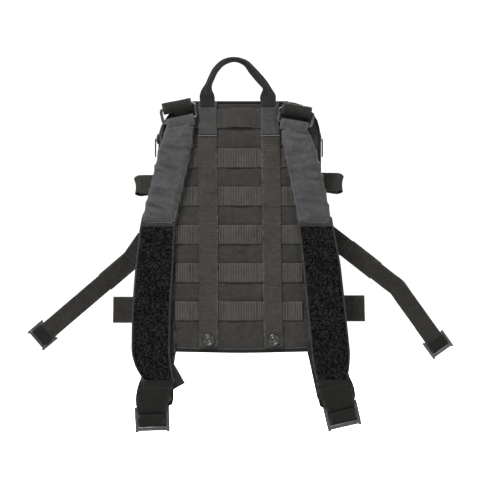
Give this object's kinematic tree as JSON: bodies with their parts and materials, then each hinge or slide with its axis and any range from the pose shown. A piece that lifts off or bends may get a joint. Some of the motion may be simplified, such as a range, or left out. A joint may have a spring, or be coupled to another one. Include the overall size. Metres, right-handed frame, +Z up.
{
  "type": "trauma backpack",
  "caption": "Compact black clamshell backpack for trauma kit, with padded shoulder straps, webbing grid, carry handle, side straps and snap-down attachment straps.",
  "frame": {"origin": "centre of the bottom edge of the back panel's outer face, where the panel is held", "axes": "+Z up along the pack, -Y out of the harness side towards the wearer, +X to the right seen from the harness side"},
  "size_m": [0.5843, 0.1258, 0.4973],
  "materials": {
    "webbing": "ribbed nylon",
    "pack_cloth": "woven nylon",
    "pad_cloth": "woven nylon",
    "loop_pile": "looped pile",
    "moulded_plastic": "fine moulded texture",
    "coated_metal": "satin black coating",
    "zipper_tape": "coil zipper on woven tape",
    "stiffener": "smooth sheet",
    "mesh": "open knit mesh",
    "elastic": "ribbed elastic",
    "binding": "woven tape"
  },
  "bodies": {
    "pack": {"back_panel": "pack_cloth", "frame_sheet": "stiffener", "rear_gusset": "pack_cloth", "rear_zipper_tape": "zipper_tape", "back_edge_binding": "binding", "organiser_panel": "pack_cloth", "elastic_loops": "elastic", "back_pals_row_1": "webbing", "back_pals_row_2": "webbing", "back_pals_row_3": "webbing", "back_pals_row_4": "webbing", "back_pals_row_5": "webbing", "back_pals_row_6": "webbing", "snap_studs": "coated_metal", "left_handle_anchor": "pad_cloth", "left_ring_anchor": "webbing", "left_corner_tab": "webbing", "left_side_strap_root": "webbing", "left_upper_loop": "webbing", "left_lower_tab": "webbing", "right_handle_anchor": "pad_cloth", "right_ring_anchor": "webbing", "right_corner_tab": "webbing", "right_side_strap_root": "webbing", "right_upper_loop": "webbing", "right_lower_tab": "webbing"},
    "front_lid": {"front_zipper_tape": "zipper_tape", "front_gusset": "pack_cloth", "front_panel": "pack_cloth", "front_edge_binding": "binding", "front_pals_rows": "webbing", "front_loop_field": "loop_pile", "lid_mesh_pocket": "mesh"},
    "carry_handle": {"carry_handle": "webbing"},
    "left_ring": {"left_strap_ring": "coated_metal"},
    "left_shoulder_strap": {"left_shoulder_pad": "pad_cloth", "left_loop_field": "loop_pile", "left_strap_end": "webbing"},
    "left_lock": {"left_ladder_lock": "moulded_plastic", "left_webbing_tail": "webbing"},
    "left_adjuster": {"left_adjusting_webbing": "webbing"},
    "left_waist_strap": {"left_side_strap": "webbing"},
    "left_waist_lock": {"left_side_lock": "moulded_plastic"},
    "left_attachment": {"left_attachment_strap": "webbing", "left_snap_cap": "coated_metal"},
    "left_slider": {"left_zipper_slider": "coated_metal"},
    "left_pull": {"left_zipper_pull": "binding"},
    "right_ring": {"right_strap_ring": "coated_metal"},
    "right_shoulder_strap": {"right_shoulder_pad": "pad_cloth", "right_loop_field": "loop_pile", "right_strap_end": "webbing"},
    "right_lock": {"right_ladder_lock": "moulded_plastic", "right_webbing_tail": "webbing"},
    "right_adjuster": {"right_adjusting_webbing": "webbing"},
    "right_waist_strap": {"right_side_strap": "webbing"},
    "right_waist_lock": {"right_side_lock": "moulded_plastic"},
    "right_attachment": {"right_attachment_strap": "webbing", "right_snap_cap": "coated_metal"},
    "right_slider": {"right_zipper_slider": "coated_metal"},
    "right_pull": {"right_zipper_pull": "binding"}
  },
  "joints": [
    {"name": "lid_opening", "type": "hinge", "parent": "pack", "child": "front_lid", "pos_m": [0, 0.0634, -0.0015], "axis": [-1, 0, 0], "range_deg": [0, 165]},
    {"name": "handle_fold", "type": "hinge", "parent": "pack", "child": "carry_handle", "pos_m": [0, -0.0025, 0.341], "axis": [1, 0, 0], "range_deg": [-85, 90]},
    {"name": "left_ring_swing", "type": "hinge", "parent": "pack", "child": "left_ring", "pos_m": [-0.08141, -0.008, 0.3255], "axis": [-0.9781, 0, -0.2079], "range_deg": [0, 60]},
    {"name": "left_strap_swing", "type": "hinge", "parent": "left_ring", "child": "left_shoulder_strap", "pos_m": [-0.07759, -0.008, 0.3075], "axis": [-0.9781, 0, -0.2079], "range_deg": [0, 90]},
    {"name": "left_lock_turn", "type": "hinge", "parent": "left_shoulder_strap", "child": "left_lock", "pos_m": [-0.11477, -0.008, -0.07381], "axis": [-0.9994, 0, -0.0349], "range_deg": [-45, 85]},
    {"name": "left_adjuster_swing", "type": "hinge", "parent": "pack", "child": "left_adjuster", "pos_m": [-0.102, -0.0034, -0.0046], "axis": [-1, 0, 0], "range_deg": [0, 126]},
    {"name": "left_waist_strap_fold", "type": "hinge", "parent": "pack", "child": "left_waist_strap", "pos_m": [-0.1516, 0.05, 0.1196], "axis": [0.6494, 0, -0.7604], "range_deg": [-90, 90]},
    {"name": "left_waist_lock_turn", "type": "hinge", "parent": "left_waist_strap", "child": "left_waist_lock", "pos_m": [-0.26262, 0.05, 0.02478], "axis": [0.6494, 0, -0.7604], "range_deg": [-85, 85]},
    {"name": "left_attachment_lift", "type": "hinge", "parent": "pack", "child": "left_attachment", "pos_m": [-0.0415, -0.0034, 0.2882], "axis": [-1, 0, -0.0052], "range_deg": [0, 90]},
    {"name": "left_slider_travel", "type": "slide", "parent": "pack", "child": "left_slider", "axis": [0, 0, -1], "range_m": [0, 0.2]},
    {"name": "left_pull_swing", "type": "hinge", "parent": "left_slider", "child": "left_pull", "pos_m": [-0.1162, 0.0634, 0.29], "axis": [0, 1, 0], "range_deg": [0, 110]},
    {"name": "right_ring_swing", "type": "hinge", "parent": "pack", "child": "right_ring", "pos_m": [0.0766, -0.008, 0.32066], "axis": [-0.9848, 0, 0.1736], "range_deg": [0, 60]},
    {"name": "right_strap_swing", "type": "hinge", "parent": "right_ring", "child": "right_shoulder_strap", "pos_m": [0.0734, -0.008, 0.30254], "axis": [-0.9848, 0, 0.1736], "range_deg": [0, 90]},
    {"name": "right_lock_turn", "type": "hinge", "parent": "right_shoulder_strap", "child": "right_lock", "pos_m": [0.13346, -0.008, -0.06915], "axis": [-0.9744, 0, -0.225], "range_deg": [-45, 85]},
    {"name": "right_adjuster_swing", "type": "hinge", "parent": "pack", "child": "right_adjuster", "pos_m": [0.11, -0.0034, -0.0046], "axis": [-1, 0, 0], "range_deg": [0, 126]},
    {"name": "right_waist_strap_fold", "type": "hinge", "parent": "pack", "child": "right_waist_strap", "pos_m": [0.1547, 0.05, 0.1337], "axis": [0.617, 0, 0.7869], "range_deg": [-90, 90]},
    {"name": "right_waist_lock_turn", "type": "hinge", "parent": "right_waist_strap", "child": "right_waist_lock", "pos_m": [0.26838, 0.05, 0.01371], "axis": [0.8141, 0, 0.5807], "range_deg": [-85, 85]},
    {"name": "right_attachment_lift", "type": "hinge", "parent": "pack", "child": "right_attachment", "pos_m": [0.0415, -0.0034, 0.2882], "axis": [-0.9998, 0, -0.0175], "range_deg": [0, 90]},
    {"name": "right_slider_travel", "type": "slide", "parent": "pack", "child": "right_slider", "axis": [0, 0, -1], "range_m": [0, 0.2]},
    {"name": "right_pull_swing", "type": "hinge", "parent": "right_slider", "child": "right_pull", "pos_m": [0.1162, 0.0634, 0.29], "axis": [0, -1, 0], "range_deg": [0, 110]}
  ],
  "couplings": [
    {"joint": "left_adjuster_swing", "follows": "left_strap_swing", "ratio": 1.4},
    {"joint": "right_adjuster_swing", "follows": "right_strap_swing", "ratio": 1.4}
  ]
}
